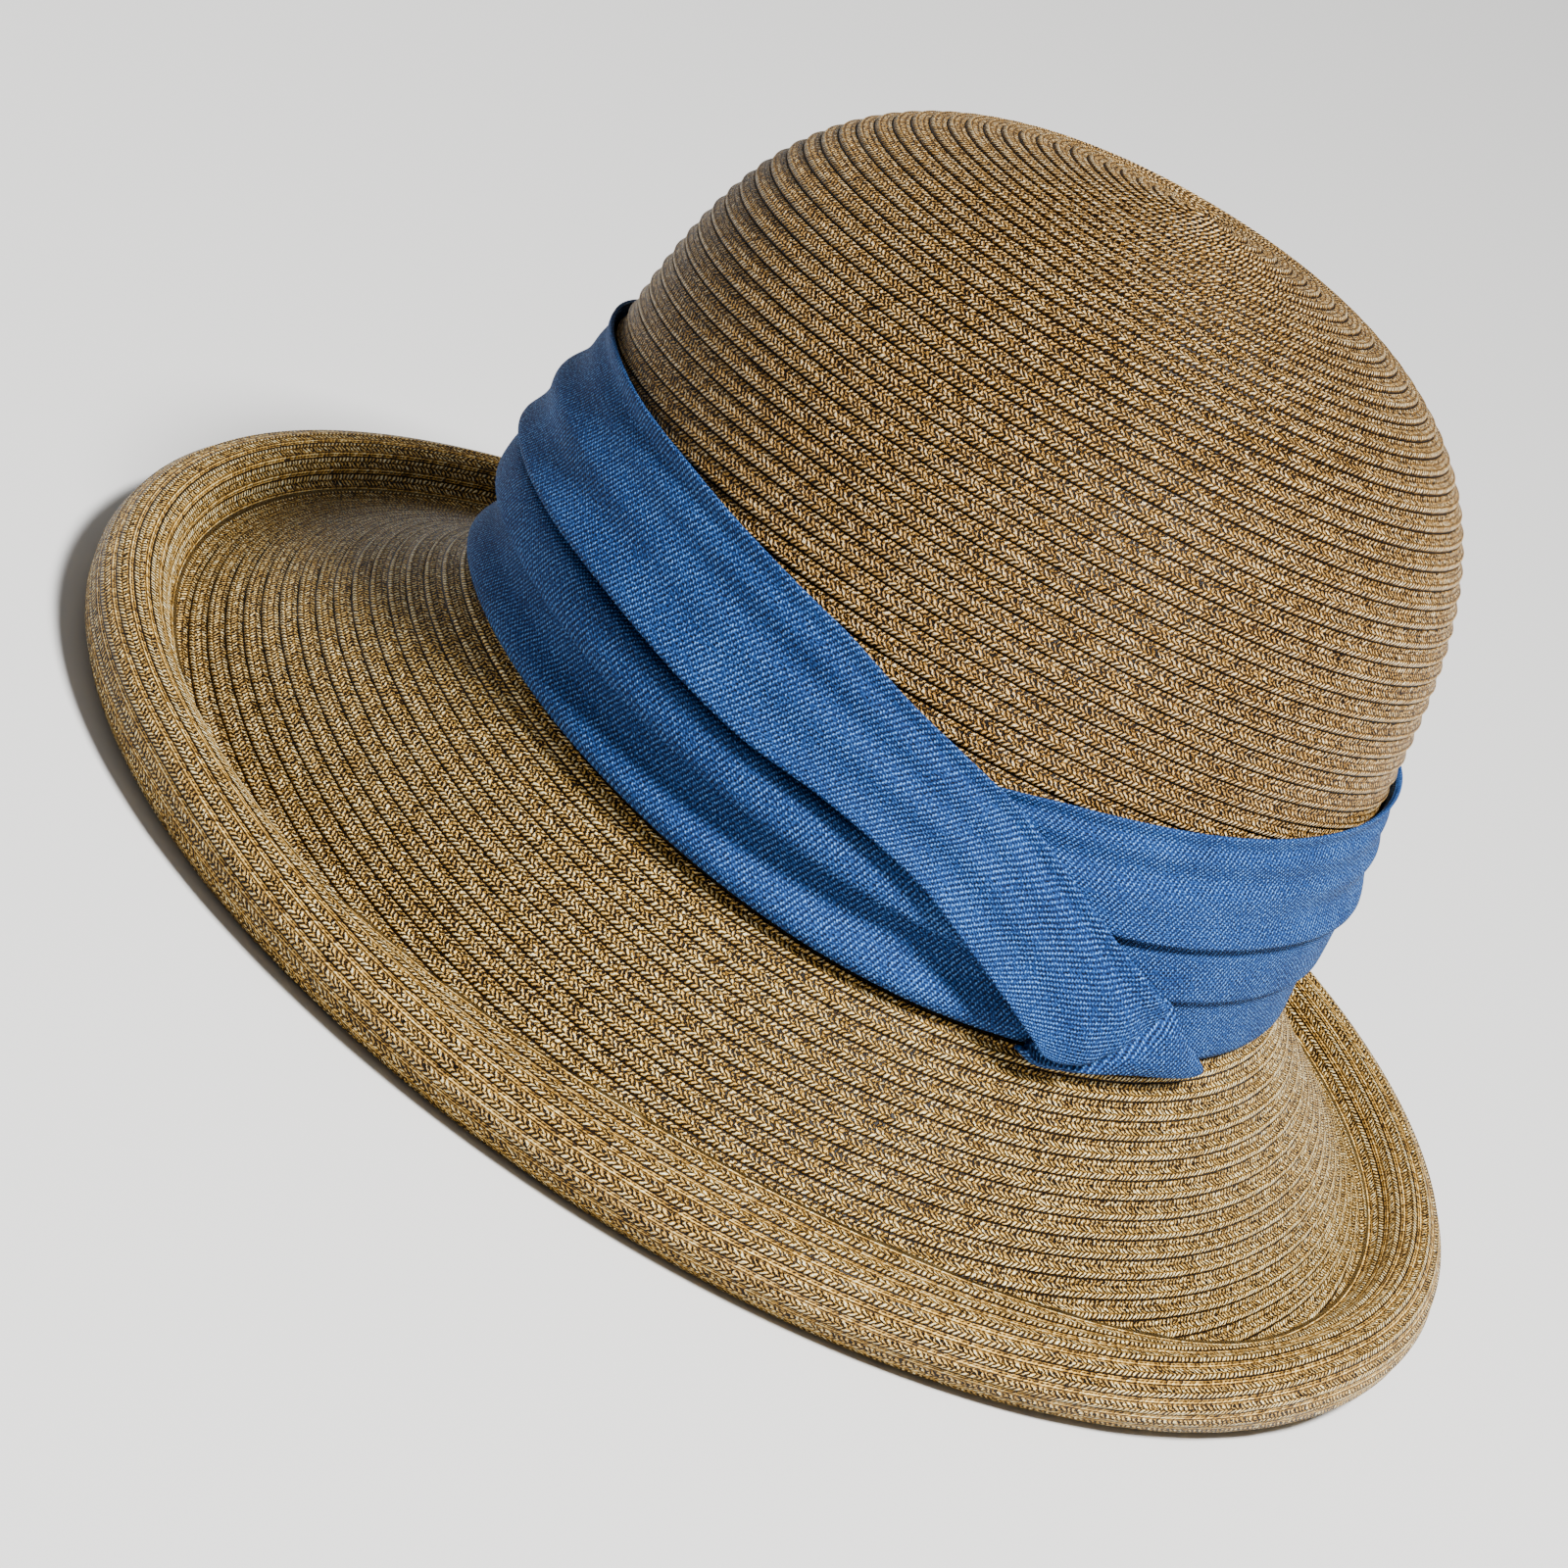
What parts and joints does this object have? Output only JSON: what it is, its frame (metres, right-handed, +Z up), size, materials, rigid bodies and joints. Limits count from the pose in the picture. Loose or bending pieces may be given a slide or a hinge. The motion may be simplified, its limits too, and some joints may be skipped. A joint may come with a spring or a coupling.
{
  "type": "straw bucket hat",
  "caption": "Hollow straw hat with a domed crown, a sloping brim rolled up at its edge, and a pleated cloth band round the crown.",
  "frame": {"origin": "centre of the bounding box's bottom, on the surface that the brim's rolled edge rests on", "axes": "+Z up through the crown, -Y to the wearer's front, +X to the wearer's left"},
  "size_m": [0.2936, 0.3126, 0.1743],
  "materials": {
    "straw": "sewn straw braid, slightly glossy",
    "band_cloth": "ribbed blue cloth, matt"
  },
  "bodies": {
    "root": {"crown": "straw", "brim": "straw", "band_lower_fold": "band_cloth", "band_middle_fold": "band_cloth", "band_upper_fold": "band_cloth", "band_wrap_end": "band_cloth"}
  },
  "joints": []
}
